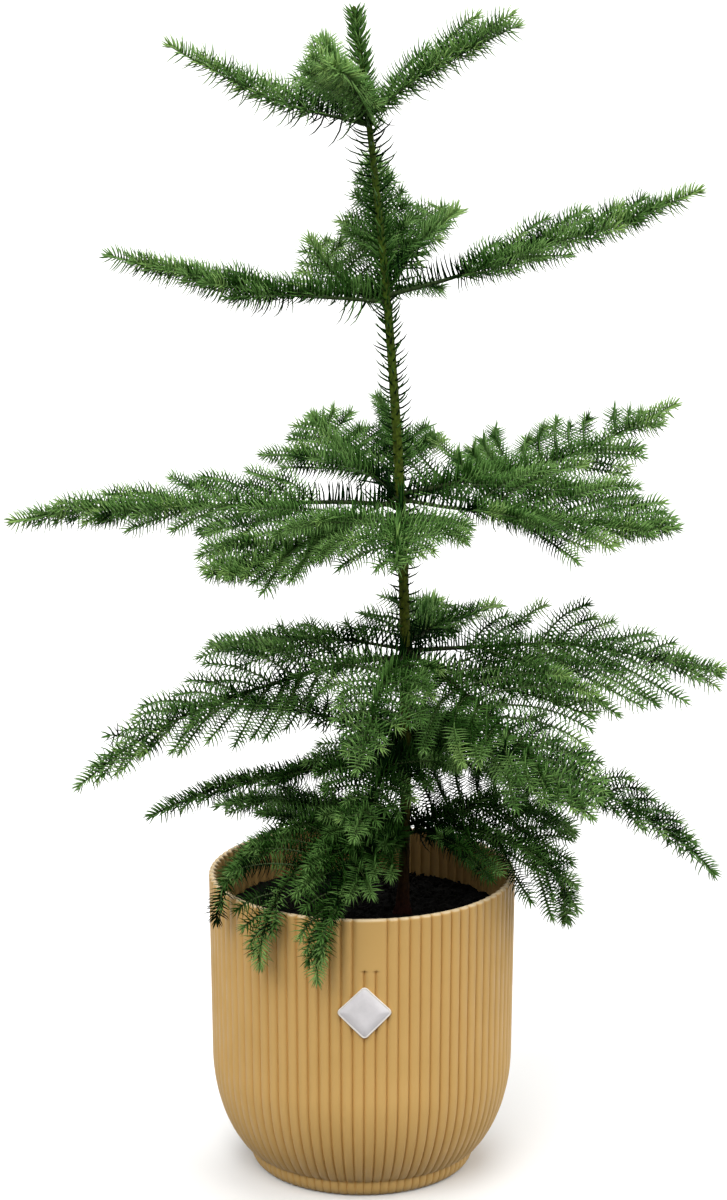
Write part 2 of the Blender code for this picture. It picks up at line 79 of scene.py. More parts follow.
# Plastic: painted shade darkens the inside of the wall above the compost, and a painted highlight makes the
# rim pale between two depths under its top
HONEY = (0.635, 0.39, 0.122)
HONEY_CLOUD = [(0.3, (0.62, 0.378, 0.117)), (0.7, (0.665, 0.41, 0.133))]
# The painted shade inside the wall: its colour, how far it is mixed in, where it fades, and how far under
# the compost's top it starts
PAINTED_INNER_SHADE = (0.16, 0.10, 0.035)
PAINTED_INNER_SHADE_SHARE = 0.42
PAINTED_INNER_SHADE_RADIUS = 86.9 * MM
PAINTED_INNER_SHADE_FADE = 0.5 * MM
PAINTED_INNER_SHADE_BELOW_SOIL = 5 * MM
# The painted highlight on the rim: its colour, how far it is mixed in, and the two depths under the top
PAINTED_RIM_HIGHLIGHT = (0.84, 0.68, 0.44)
PAINTED_RIM_HIGHLIGHT_SHARE = 0.8
PAINTED_RIM_HIGHLIGHT_DEPTHS = (1.5 * MM, 0.4 * MM)

# Tag
TAG_SIDE = 23 * MM
TAG_CORNER = 2.5 * MM
TAG_THICK = 0.8 * MM
TAG_BORDER = 0.8 * MM
TAG_BEVEL = 0.2 * MM
TAG_HEIGHT = 123.5 * MM
TAG_TURN = np.radians(-2.1)

# Compost and trunk
SOIL_TOP = 152 * MM
LUMP = 1.1 * MM
GRAIN = 0.35 * MM
WAVES = 24
BED_SINK = 1.5 * MM
BED_DEPTH = 14 * MM
HEAP = 2 * MM
HEAP_RADIUS = 14 * MM
CRUMBS = 2600
FIBRE_SHARE = 0.12
BARK_FOOT = 150 * MM
TRUNK_GREEN_AT = 520 * MM
STEM_GREEN_AT = 620 * MM
TRUNK_BASE_X = 24 * MM
TRUNK_SWAY = 17.5 * MM
TRUNK_LEAN = 46 * MM
TRUNK_TOP = 681 * MM
TRUNK_RADIUS = 3.1 * MM
TRUNK_TIP_RADIUS = 1.1 * MM
TAPER_POWER = 2.5
FLARE = 2.4 * MM
FLARE_HEIGHT = 9 * MM

# Relief of the trunk's bark, in shares of its radius, with cracks in place of scales towards the foot
SCALE_RELIEF = 0.07
SCALE_LOSS = 0.6
CRACK_DEPTH = 0.09
RING_RELIEF = 0.05
LOBE_RELIEF = 0.16
LOBE_HEIGHT = 8 * MM
CRACKS_FROM = 330 * MM
CRACKS_WHOLE = 180 * MM

# Fronds
STAGGER = 8 * MM
GOLDEN = 0.618
GOLDEN_TURN = np.radians(137.5)
STEM_RADIUS = 1.3 * MM
STEM_TIP_RADIUS = 0.45 * MM
STEM_STATIONS = 150
STEM_SIDES = 10
STEM_TAPER_POWER = 0.8
STEM_RELIEF = 0.09
FULL_STEM = 170 * MM
FULL_STEM_LIMITS = (0.8, 1.15)
COLLAR = 0.8 * MM
COLLAR_LENGTH = 4 * MM
TWIG_RADIUS = 0.7 * MM
TWIG_TIP_RADIUS = 0.3 * MM
FRONT_LEAN = np.radians(18)
TWIG_GAP = 10.5 * MM
TWIG_ANGLE = np.radians([82, 48])
TWIG_LIFT = np.radians([16, -10])
TWIG_CURL = np.radians(29)
TWIG_JITTER = 0.14
TWIG_LOSS = 0.05
TWIG_LENGTH_SPREAD = 0.12
TWIG_LENGTH_LIMITS = (0.65, 1.25)
TWIG_CURL_RANGE = (0.5, 1.5)
TWIG_ANGLE_SPREAD = 0.09
TWIG_RISE_SPREAD = 0.1
WANDER = np.radians(2.5)
SWAYS = 1.6
TWIG_SHARE_AT_ROOT = 0.72
TWIG_FULL_AT = 0.25
TWIG_FALL = 1.55
SHORTEST_TWIG = 7 * MM
FIRST_PAIR = 0.75
SIDE_STEP = 0.2
TIP_ROOM = 0.6

# Needles: lengths, widths, and angles from their stem
BOUGH_NEEDLE = 17 * MM
STEM_NEEDLE = 12.5 * MM
TIP_NEEDLE = 9.5 * MM
END_NEEDLE = 6.5 * MM
TWIG_TUFT = 5 * MM
STEM_TUFT = 6 * MM
TIP_CROWDING = 1.15
LOW_NEEDLES = 0.92
TOP_NEEDLES = 1.15
LONG_WIDTH = 1.3 * MM
TWIG_WIDTH = 1.06 * MM
TRUNK_WIDTH = 1.45 * MM
THINNING = 0.35
TWIG_SPLAY = np.radians([80, 67])
STEM_SPLAY = np.radians([90, 70])
POINT_SPLAY = np.radians(30)
COMB_SPLAY = np.radians(90)
HOOK_SPLAY = np.radians(88)
TWIG_BEND = np.radians(14)
COMB_BEND = np.radians(6)
HOOK_BEND = np.radians(38)
RANK_TURN = np.radians(144)
FIRST_RANK = np.radians(18)
SHORTEN_FROM = 0.3
SHORTEN_OVER = 40 * MM

# Needles on the fronds' stems: those whose outward direction is lower than UNDERSIDE hang below
UNDERSIDE = -0.35
SIDEWAYS = 0.5
DROPPED_BELOW = (0.62, 0.89)
DROPPED_BESIDE = 0.85
DROPPED_ABOVE = 0.1
BARE_FADE = 0.12
YOUNG_FROM = 0.9
CLEAR_OF_TRUNK = 0.02

# Chance in each needle's place, angle, bend, length and width
ROW_JITTER = 0.3
RANK_JITTER = 0.15
TRUNK_JITTER = 0.2
LEAN_TO_LIGHT = 0.05
SPLAY_SPREAD = 0.06
BEND_SPREAD = 0.08
LENGTH_RANGE = (0.85, 1.1)
WIDTH_RANGE = (0.88, 1.12)

# Light and dark of the green: it is dealt spray by spray, and grows lighter to the tips and to the outer
# sprays. This is partly the needles' own green, fresher at the tips and older inside, and partly painted
# light and shade of the crown.
TWIG_SPRAYS = 5
STEM_SPRAYS = 8
SPRAY_SPREAD = 0.75
TIP_GAIN = 2
TIP_GAIN_LOSS = 0.4
# Inner sprays, needles on the stems and needles on the bare boughs are dealt darker: partly older needles'
# own green, partly painted shade inside the crown
OUTER_LIGHT = 0.9
OUTER_FROM = 0.45
STEM_SHADE = 0.3
STEM_TIP_LIGHT = 2
BARE_SHADE = 1.4
TRUNK_LIGHT_SPREAD = 0.4


class Frond(NamedTuple):
    """A frond: bearing, length in mm, pitch at the trunk and tip, longest left and right twig in mm.

    A spread of 1 sets the side twigs at the rule's own angles, and the throw seeds the chance in them.
    """

    name: str
    bearing: float
    length: float
    pitch: float
    tip_pitch: float
    left_twig: float
    right_twig: float
    spread: float
    throw: int


class Whorl(NamedTuple):
    """A ring of fronds: its height in mm and the share of each frond that is a bare bough.

    Then how late its fronds bend, how light its green is, and how many needles stand on a mm of stem. The
    low whorls' darker green is partly their older needles' own colour and partly painted shade under the
    crown.
    """

    name: str
    height: float
    bough: float
    bend: float
    light: float
    needles: float
    fronds: tuple


# Each whorl's light falls towards the bottom of the tree: partly the older needles' own green, partly
# painted shade under the upper whorls
WHORLS = (
    Whorl("top", 620, 0, 1, 2.3, 2.2, (
        Frond("left", 175, 120, 9, 34, 12, 35, 0.81, 0),
        Frond("right", -17, 99, 39, 23, 59, 20, 0.5, 37),
        Frond("front", -102, 102, 32, 11, 12, 55, 0.7, 57),
        Frond("back", 102, 105, 18, 17, 42, 12, 0.86, 81),
    )),
    Whorl("second", 520, 0.2, 1.15, 2.1, 2.35, (
        Frond("left", 169, 162, 1, 17, 37, 33, 0.5, 106),
        Frond("back_right", 67, 130, 24, 1, 54, 12, 1.1, 126),
        Frond("back_left", 114, 104, -7, 35, 37, 74, 1.1, 144),
        Frond("back", 91, 119, 31, 35, 31, 29, 0.85, 191),
        Frond("right", -1, 185, 16, 21, 39, 48, 0.59, 195),
    )),
    Whorl("third", 402, 0.2, 1.15, 1.9, 2.2, (
        Frond("left", 170, 228, 1, -9, 58, 47, 0.76, 232),
        Frond("back_left", 108, 150, 2, 14, 63, 79, 0.91, 258),
        Frond("back", 43, 87, 7, 6, 90, 87, 1.1, 287),
        Frond("back_right", 32, 208, -1, 18, 51, 63, 1.04, 299),
        Frond("front_right", -13, 159, -6, -1, 76, 70, 0.65, 330),
        Frond("front", -95, 137, 4, -8, 53, 94, 1.1, 336),
        Frond("front_left", -141, 145, -15, -4, 73, 75, 0.62, 360),
    )),
    Whorl("fourth", 312, 0.15, 1.15, 1.6, 1.75, (
        Frond("left", 192, 207, -1, -37, 72, 51, 0.85, 394),
        Frond("back_left", 148, 132, 1, -15, 69, 24, 0.81, 419),
        Frond("back", 79, 145, 3, -5, 44, 27, 0.97, 450),
        Frond("back_right", 56, 115, 7, -10, 12, 12, 1.1, 478),
        Frond("right", 1, 186, 6, -18, 51, 95, 0.86, 491),
        Frond("right_low", -31, 120, -9, -10, 92, 12, 0.81, 526),
        Frond("front_right", -60, 191, -12, -23, 79, 89, 0.72, 540),
        Frond("front", -103, 161, 8, -28, 44, 46, 0.97, 554),
    )),
    Whorl("fifth", 252, 0, 1.3, 0.65, 2.1, (
        Frond("left", 191, 155, 1, -22, 44, 12, 0.5, 590),
        Frond("back_left", 145, 173, 13, -20, 12, 20, 1.1, 609),
        Frond("back_right", 72, 161, 3, -31, 46, 42, 0.96, 629),
        Frond("right", -12, 200, -1, -48, 52, 42, 1, 658),
        Frond("front_left", -106, 132, 6, -21, 52, 55, 1, 673),
    )),
    Whorl("lowest", 205, 0, 2, 0.6, 2.2, (
        Frond("right", -18, 126, 11, -101, 50, 86, 0.86, 698),
        Frond("back_right", 21, 118, 9, -48, 73, 67, 1.1, 736),
        Frond("back_left", 145, 135, 7, -22, 47, 33, 0.74, 748),
        Frond("left", -154, 150, 14, -85, 42, 28, 0.5, 771),
        Frond("front_left", -136, 154, 10, -95, 41, 64, 0.84, 800),
        Frond("front", -119, 151, 10, -97, 53, 53, 0.5, 823),
    )),
)

# Colours of bark, from the foot up, and of needles
TRUNK_BARK = ((0.030, 0.005, 0.005), (0.058, 0.074, 0.004), (0.048, 0.088, 0.006))
STEM_BARK = ((0.010, 0.008, 0.004), (0.018, 0.024, 0.007), (0.026, 0.056, 0.012))
NEEDLE_SHEEN = 0.4
# The darker greens stand partly for painted shade in the crown, the lighter ones partly for painted light on
# the outer tips
GREENS = {
    "deep": (0.003, 0.014, 0.003),
    "dark": (0.021, 0.069, 0.009),
    "mid": (0.082, 0.188, 0.039),
    "bright": (0.160, 0.306, 0.078),
    "fresh": (0.240, 0.400, 0.105),
}


def unit(vectors):
    """The same directions with length 1."""
    return vectors / np.linalg.norm(vectors, axis=-1, keepdims=True)


def blend(low, high, share):
    """Runs evenly from low to high as the share goes from 0 to 1."""
    return low + (high - low) * share


def ease(low, high, value):
    """Rises smoothly from 0 at low to 1 at high."""
    share = np.clip((value - low) / (high - low), 0, 1)
    return share * share * (3 - 2 * share)


def surface(name, points, faces, material, nodes, smooth=True):
    """A piece from its points and arrays of faces, each array with its own number of corners."""
    mesh = bpy.data.meshes.new(name)
    mesh.vertices.add(len(points))
    mesh.vertices.foreach_set("co", np.asarray(points, dtype=np.float32).ravel())
    corners = np.concatenate([part.ravel() for part in faces])
    counts = np.concatenate([np.full(len(part), part.shape[1]) for part in faces])
    mesh.loops.add(len(corners))
    mesh.loops.foreach_set("vertex_index", corners.astype(np.int32))
    mesh.polygons.add(len(counts))
    mesh.polygons.foreach_set("loop_start", (np.cumsum(counts) - counts).astype(np.int32))
    mesh.polygons.foreach_set("use_smooth", np.full(len(counts), smooth))
    mesh.update(calc_edges=True)
    mesh.materials.append(material)
    piece = bpy.data.objects.new(name, mesh)
    bpy.context.scene.collection.objects.link(piece)
    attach(piece, "root")
    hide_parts(*nodes)


def ring_faces(rows, columns):
    """Quads between neighbouring rows of a grid of closed rings, facing out where rows rise."""
    row, column = np.meshgrid(np.arange(rows - 1), np.arange(columns), indexing="ij")
    here = row * columns + column
    beside = row * columns + (column + 1) % columns
    return np.stack([here, beside, beside + columns, here + columns], axis=-1).reshape(-1, 4)


def cap_faces(centre, ring, outward):
    """A fan from a middle point to a closed ring; outward says which way round the ring runs."""
    after = np.roll(ring, -1, axis=-1)
    middle = np.broadcast_to(np.asarray(centre)[..., None], ring.shape)
    order = (middle, ring, after) if outward else (middle, after, ring)
    return np.stack(order, axis=-1).reshape(-1, 3)


def closed_faces(rows, columns):
    """Faces of a stack of closed rings, shut by two middle points that come after the rings' own."""
    first = np.arange(columns)
    last = first + (rows - 1) * columns
    return [
        ring_faces(rows, columns),
        cap_faces(rows * columns, first, False),
        cap_faces(rows * columns + 1, last, True),
    ]


def turned(name, radius, height, angle, material, node):
    """A closed turned shape: rows of radius and height at each angle, with a middle point at each end."""
    points = np.stack([radius * np.cos(angle), radius * np.sin(angle), height], axis=-1).reshape(-1, 3)
    ends = [[0, 0, height[0].mean()], [0, 0, height[-1].mean()]]
    surface(name, np.vstack([points, ends]), closed_faces(*radius.shape), material, [node])


def limbs(paths, tops, radii, sides, relief=None):
    """Tapering tubes along many paths at once, closed by a point at each end.

    A point on a tube is its path's point, plus the radius times the cosine of its angle towards the side
    and the sine towards the top. A relief array scales that radius point by point.
    """
    count, stations, _ = paths.shape
    ahead = unit(np.gradient(paths, axis=1))
    tops = unit(tops - (tops * ahead).sum(-1, keepdims=True) * ahead)
    right = np.cross(ahead, tops)
    turn = np.arange(sides) / sides * 2 * np.pi
    around = right[:, :, None] * np.cos(turn)[:, None] + tops[:, :, None] * np.sin(turn)[:, None]
    reach = radii[:, :, None] * (1 if relief is None else relief)
    rings = paths[:, :, None] + around * np.broadcast_to(reach, (count, stations, sides))[..., None]
    tips = paths[:, -1] + ahead[:, -1] * radii[:, -1:]
    points = np.vstack([rings.reshape(-1, 3), paths[:, 0], tips])
    ring_count = stations * sides
    tube = ring_faces(stations, sides)[:, ::-1]
    offsets = np.arange(count) * ring_count
    quads = (tube[None] + offsets[:, None, None]).reshape(-1, 4)
    first = offsets[:, None] + np.arange(sides)
    last = first + ring_count - sides
    roots = count * ring_count + np.arange(count)
    caps = np.vstack([cap_faces(roots, first, True), cap_faces(roots + count, last, False)])
    return points, [quads, caps]


# Materials

NOISE_RANGE = (0.3, 0.7)


def material_of(name, colour, roughness, **sockets):
    """A new material whose shader has these constants on its own sockets, named with _ for a space."""
    made = bpy.data.materials.new(name)
    made.use_nodes = True
    shader = made.node_tree.nodes["Principled BSDF"]
    shader.inputs["Base Color"].default_value = (*colour, 1)
    shader.inputs["Roughness"].default_value = roughness
    for socket, value in sockets.items():
        shader.inputs[socket.replace("_", " ")].default_value = value
    made.diffuse_color = (*colour, 1)
    return made


def feed(made, value, socket):
    """Gives a socket a node's output, or else a plain number or colour."""
    if isinstance(value, bpy.types.NodeSocket):
        made.node_tree.links.new(value, socket)
    else:
        socket.default_value = value


def noise_in(made, scale, detail, stretch=(1, 1, 1)):
    """Noise on Object coordinates, in features per metre, stretched along the axes."""
    nodes = made.node_tree.nodes
    mapping = nodes.new("ShaderNodeMapping")
    noise = nodes.new("ShaderNodeTexNoise")
    feed(made, nodes.new("ShaderNodeTexCoord").outputs["Object"], mapping.inputs["Vector"])
    feed(made, stretch, mapping.inputs["Scale"])
    feed(made, mapping.outputs["Vector"], noise.inputs["Vector"])
    feed(made, scale, noise.inputs["Scale"])
    feed(made, detail, noise.inputs["Detail"])
    return noise.outputs["Fac"]


def height_of(made, space="Object"):
    """The height of a point of an object, or of a direction of the world."""
    nodes = made.node_tree.nodes
    parts = nodes.new("ShaderNodeSeparateXYZ")
    feed(made, nodes.new("ShaderNodeTexCoord").outputs[space], parts.inputs["Vector"])
    return parts.outputs["Z"]


def distance_of(made):
    """The distance of a point from the vertical line through the pot's middle."""
    nodes = made.node_tree.nodes
    flat = nodes.new("ShaderNodeVectorMath")
    flat.operation = "MULTIPLY"
    radius = nodes.new("ShaderNodeVectorMath")
    radius.operation = "LENGTH"
    feed(made, nodes.new("ShaderNodeTexCoord").outputs["Object"], flat.inputs[0])
    feed(made, (1, 1, 0), flat.inputs[1])
    feed(made, flat.outputs["Vector"], radius.inputs[0])
    return radius.outputs["Value"]


def calculated(made, operation, first, second):
    """One step of arithmetic on two numbers."""
    step = made.node_tree.nodes.new("ShaderNodeMath")
    step.operation = operation
    feed(made, first, step.inputs[0])
    feed(made, second, step.inputs[1])
    return step.outputs["Value"]


def ranged(made, factor, start, end, low, high):
    """Brings a factor from the range start to end evenly to the range low to high, and no further."""
    spread = made.node_tree.nodes.new("ShaderNodeMapRange")
    feed(made, factor, spread.inputs["Value"])
    feed(made, start, spread.inputs["From Min"])
    feed(made, end, spread.inputs["From Max"])
    feed(made, low, spread.inputs["To Min"])
    feed(made, high, spread.inputs["To Max"])
    return spread.outputs["Result"]


def ramp_from(made, factor, stops):
    """A colour ramp over a factor, from (position, colour) stops."""
    ramp = made.node_tree.nodes.new("ShaderNodeValToRGB")
    while len(ramp.color_ramp.elements) < len(stops):
        ramp.color_ramp.elements.new(1)
    for element, (position, colour) in zip(ramp.color_ramp.elements, stops):
        element.position = position
        element.color = (*colour, 1)
    feed(made, factor, ramp.inputs["Fac"])
    return ramp.outputs["Color"]


def mixed(made, factor, under, over, how="MIX"):
    """One colour over another, as far as the factor says."""
    mix = made.node_tree.nodes.new("ShaderNodeMix")
    mix.data_type = "RGBA"
    mix.blend_type = how
    feed(made, factor, mix.inputs["Factor"])
    feed(made, under, mix.inputs["A"])
    feed(made, over, mix.inputs["B"])
    return mix.outputs["Result"]


def to_shader(made, value, socket):
    """Gives the material's own shader a node's output."""
    feed(made, value, made.node_tree.nodes["Principled BSDF"].inputs[socket])


def bump_from(made, factor, strength, depth):
    """Relief for the light alone, from a factor, as deep as depth where it changes fully."""
    bump = made.node_tree.nodes.new("ShaderNodeBump")
    feed(made, strength, bump.inputs["Strength"])
    feed(made, depth, bump.inputs["Distance"])
    feed(made, factor, bump.inputs["Height"])
    to_shader(made, bump.outputs["Normal"], "Normal")


def honey_plastic():
    """Moulded matt plastic: a cloudy honey with a fine satin grain, painted shade inside and a painted
    highlight on the rim.
    """
    made = material_of("honey_plastic", HONEY, 0.5)
    cloud = ramp_from(made, noise_in(made, 22, 3), HONEY_CLOUD)
    height = height_of(made)
    # Painted shade: the inside of the wall above the compost is mixed towards a dark brown, as if in shade
    inside = ranged(made, distance_of(made), PAINTED_INNER_SHADE_RADIUS, PAINTED_INNER_SHADE_RADIUS + PAINTED_INNER_SHADE_FADE, PAINTED_INNER_SHADE_SHARE, 0)
    above = calculated(made, "GREATER_THAN", height, SOIL_TOP - PAINTED_INNER_SHADE_BELOW_SOIL)
    inner_shaded = mixed(made, calculated(made, "MULTIPLY", inside, above), cloud, (*PAINTED_INNER_SHADE, 1))
    # Painted highlight: the top of the rim is mixed towards a pale cream between two depths under its top
    from_z, to_z = (POT_HEIGHT - depth for depth in PAINTED_RIM_HIGHLIGHT_DEPTHS)
    edge = ranged(made, height, from_z, to_z, 0, PAINTED_RIM_HIGHLIGHT_SHARE)
    to_shader(made, mixed(made, edge, inner_shaded, (*PAINTED_RIM_HIGHLIGHT, 1)), "Base Color")
    to_shader(made, ranged(made, noise_in(made, 60, 4), *NOISE_RANGE, 0.42, 0.58), "Roughness")
    bump_from(made, noise_in(made, 1800, 2), 0.25, 0.05 * MM)
    return made


def tag_card(name, colour, roughness):
    """Coated card: an even tint with a trace of mottling."""
    made = material_of(name, colour, roughness)
    darker = tuple(0.93 * part for part in colour)
    to_shader(made, ramp_from(made, noise_in(made, 240, 4), [(0.35, darker), (0.65, colour)]), "Base Color")
    bump_from(made, noise_in(made, 2500, 2), 0.1, 0.02 * MM)
    return made


def damp_compost():
    """Peat: dark crumbs with a few paler fibres."""
    dark, light = (0.0010, 0.0011, 0.0008), (0.005, 0.0042, 0.0028)
    made = material_of("damp_compost", dark, 0.95, Specular_IOR_Level=0.15)
    to_shader(made, ramp_from(made, noise_in(made, 420, 6), [(0.4, dark), (0.62, light)]), "Base Color")
    bump_from(made, noise_in(made, 1300, 6), 0.8, 0.6 * MM)
    return made


def young_bark(name, low, middle, high, green_at):
    """Bark that turns from red-brown at the foot through olive to green at a height, with dark scars."""
    made = material_of(name, middle, 0.75, Specular_IOR_Level=0.15)
    height = ranged(made, height_of(made), BARK_FOOT, green_at, 0, 1)
    tint = ramp_from(made, height, [(0, low), (0.35, middle), (1, high)])
    scars = noise_in(made, 700, 5, (1, 1, 0.4))
    grain = ramp_from(made, scars, [(0.35, (0.35, 0.3, 0.25)), (0.6, (1.25, 1.2, 1.1))])
    to_shader(made, mixed(made, 0.8, tint, grain, "MULTIPLY"), "Base Color")
    bump_from(made, noise_in(made, 1500, 4, (1, 1, 0.5)), 0.5, 0.15 * MM)
    return made


# Pot, tag and compost

def pot_wall_radius(z):
    """The outer radius: straight from the rim to the shoulder, then an elliptic arc in to the neck."""
    upright = POT_RADIUS - RIM_FLARE
    flared = upright + RIM_FLARE * (z - SHOULDER) / (POT_HEIGHT - SHOULDER)
    drop = np.clip((SHOULDER - z) / (SHOULDER - FOOT_HEIGHT), 0, 1) * np.sin(ROUND_END)
    tucked = upright - (upright - NECK_RADIUS) * (1 - np.sqrt(1 - drop * drop)) / (1 - np.cos(ROUND_END))
    return np.where(z >= SHOULDER, flared, tucked)


def flute_places():
    """Where each column stands, counted in flutes: columns crowd towards the two grooves, as a sine does."""
    step = np.arange(FLUTE_COLUMNS) / FLUTE_COLUMNS * 2 - 1
    inside = 0.5 * np.sin(step * np.pi / 2)
    return (np.arange(FLUTES)[:, None] + inside).ravel()


def groove(place, z, sharpness):
    """How far a point lies down in a groove: the distance from the flute's crest, raised to a power.

    Over the plain panel three flutes count as one.
    """
    crest = np.round(place)
    near = np.abs(place - crest) * 2
    away = np.remainder(place - FRONT / (2 * np.pi) * FLUTES + FLUTES / 2, FLUTES) - FLUTES / 2
    on_panel = np.abs(away) < PANEL_FLUTES / 2 - TINY
    over_panel = ease(-PANEL_EDGE, PANEL_EDGE, z - (POT_HEIGHT - PANEL_HEIGHT)) * on_panel
    wide = (np.abs(away) * 2 / PANEL_FLUTES) ** (sharpness * PANEL_FLUTES)
    narrow = near ** sharpness
    return blend(narrow, np.where(on_panel, wide, narrow), over_panel)


def make_pot():
    """The fluted shell, from its base up the outside, over the scalloped rim and down the inside.

    The profile is rows of radius and height; each row is drawn in by its depth of flute times the groove.
    """
    foot = np.array([0, 0.35, 1.1, 2.3, 4, 6, 8, 9.3, 10, 10.6, 11.2, 12]) * MM
    foot_radius = np.array([61.2, 62.3, 63.4, 64.5, 65.5, 66.2, 66.6, 66.7, 66.9, 67.5, 68.5, 69.6]) * MM
    wall = np.concatenate([np.linspace(13, 70, 24), np.linspace(80, 144, 7)]) * MM
    panel = np.array([146.5, 147.3, 147.7, 148, 148.3, 148.7, 149.5, 152, 160, 170, 177]) * MM
    outside = np.concatenate([wall, panel])
    inside = np.array([177, 174, 165, 155, 140, 110, 75, 40, 12]) * MM
    rim_z = POT_HEIGHT - np.array([1.5, 0.65, 0.2, 0, 0, 0.1, 0.4, 1]) * MM
    rim_in = np.array([0, 0.3, 0.8, 1.4, 2.1, 2.5, 2.85, 3]) / 3 * WALL
    z = np.concatenate([foot, outside, rim_z, inside, [FLOOR, FLOOR]])
    radius = np.concatenate([
        foot_radius, pot_wall_radius(outside), POT_RADIUS - rim_in, pot_wall_radius(inside) - WALL,
        [FLOOR_RADIUS, FLOOR_RADIUS / 2],
    ])
    place = flute_places()
    depth = FLUTE_DEPTH * blend(FLUTE_SHARE_AT_FOOT, 1, ease(0, FLUTE_RISE, z))
    depth[-2:] = 0
    drawn = radius[:, None] - depth[:, None] * groove(place[None], z[:, None], FLUTE_SHARPNESS)
    rim = ease(POT_HEIGHT - RIM_DIP_FROM, POT_HEIGHT - RIM_DIP_WHOLE, z)[:, None]
    height = z[:, None] - RIM_DIP * rim * groove(place[None], z[:, None], RIM_SHARPNESS)
    angle = place / FLUTES * 2 * np.pi
    turned("pot_shell", drawn, height, angle, honey_plastic(), "pot")


def tag_outline(inset, count):
    """Across and up from the tag's middle: a rounded square on its corner, drawn in by an inset.

    A third of each quarter's points go round its corner's arc, and the rest half-way along the two sides.
    """
    half = TAG_SIDE / 2 - TAG_CORNER
    turn = np.arange(count) / count * 2 * np.pi
    quarter = np.floor(turn / (np.pi / 2))
    corner = quarter * np.pi / 2 + np.pi / 4
    along = turn - corner
    bend = corner + np.clip(along * 3, -np.pi / 4, np.pi / 4)
    middle = half * np.sqrt(2)
    edge = TAG_CORNER - inset
    side = np.clip(np.abs(along) * 3 - np.pi / 4, 0, None) / (np.pi / 2) * np.sign(along) * half
    x = middle * np.cos(corner) + edge * np.cos(bend) - side * np.sin(bend)
    y = middle * np.sin(corner) + edge * np.sin(bend) + side * np.cos(bend)
    tilt = np.pi / 4
    return x * np.cos(tilt) - y * np.sin(tilt), x * np.sin(tilt) + y * np.cos(tilt)


def tag_rings(rings, count=96):
    """Points of closed outlines laid on the pot's crests, from rings of inset, share of size and lift."""
    wall = float(pot_wall_radius(TAG_HEIGHT)) + GAP
    points = []
    for inset, share, lift in rings:
        across, up = tag_outline(inset, count)
        radius = wall + lift
        angle = FRONT + TAG_TURN + across * share / wall
        height = TAG_HEIGHT + up * share
        points.append(np.stack([radius * np.cos(angle), radius * np.sin(angle), height], axis=-1))
    return np.array(points)


def make_tag():
    """A card with a pale rounded edge and a flat tinted face set a little into it."""
    bevel, border, top = TAG_BEVEL, TAG_BORDER, TAG_THICK
    hollow = top - 0.12 * MM
    edge_rings = [
        (0, 0.02, 0), (0, 0.5, 0), (bevel, 1, 0), (0, 1, bevel), (0, 1, top - bevel), (bevel, 1, top),
        (border, 1, top), (border + 0.1 * MM, 1, hollow), (border, 0.5, hollow), (border, 0.02, hollow),
    ]
    under, shoulder, face = top - 0.3 * MM, top - 0.1 * MM, top - 0.06 * MM
    outer, inner = border + 0.12 * MM, border + 0.16 * MM
    face_rings = [
        (border, 0.02, under), (border, 0.5, under), (outer, 1, under), (outer, 1, shoulder),
        (inner, 1, face), (border, 0.5, face), (border, 0.02, face),
    ]
    edge_card = tag_card("tag_pale_edge", (0.93, 0.88, 0.80), 0.45)
    face_card = tag_card("tag_cool_face", (0.82, 0.79, 0.80), 0.35)
    for name, rings, card in (("tag_edge", edge_rings, edge_card), ("tag_face", face_rings, face_card)):
        grid = tag_rings(rings)
        points = np.vstack([grid.reshape(-1, 3), grid[0].mean(0), grid[-1].mean(0)])
        surface(name, points, closed_faces(*grid.shape[:2]), card, ["tag"])


def waves(x, y, dice, count, shortest, longest):
    """A rough height field: many sine waves of random direction, length and phase, added up.

    Their sum is divided by the root of their number, so its roughness doesn't depend on how many there are.
    """
    length = dice.uniform(shortest, longest, count)
    turn = dice.uniform(0, 2 * np.pi, count)
    phase = dice.uniform(0, 2 * np.pi, count)
    along = x[..., None] * np.cos(turn) + y[..., None] * np.sin(turn)
    return np.sin(along / length * 2 * np.pi + phase).sum(-1) / np.sqrt(count)


def make_compost(dice):
    """A lumpy disc that meets the pot's wall, heaped a little at the trunk, with crumbs and fibres on it."""
    reach = pot_wall_radius(SOIL_TOP) - WALL - FLUTE_DEPTH - GAP
    rings, columns = 70, 260
    share = np.linspace(1, 0.01, rings)[:, None]
    angle = np.arange(columns) / columns * 2 * np.pi
    radius = reach * share * np.ones(columns)
    x, y = radius * np.cos(angle), radius * np.sin(angle)
    lumps = LUMP * waves(x, y, dice, WAVES, 5 * MM, 30 * MM)
    lumps = lumps + GRAIN * waves(x, y, dice, WAVES, 2 * MM, 5 * MM)
    heap = HEAP * np.exp(-((x - TRUNK_BASE_X) ** 2 + y ** 2) / HEAP_RADIUS ** 2)
    top = SOIL_TOP - BED_SINK + lumps + heap
    under = np.full((1, columns), SOIL_TOP - BED_DEPTH)
    radius = np.vstack([radius[:1] - 1 * MM, radius])
    turned("compost_bed", radius, np.vstack([under, top]), angle, damp_compost(), "soil")
    scatter_crumbs(dice, reach)


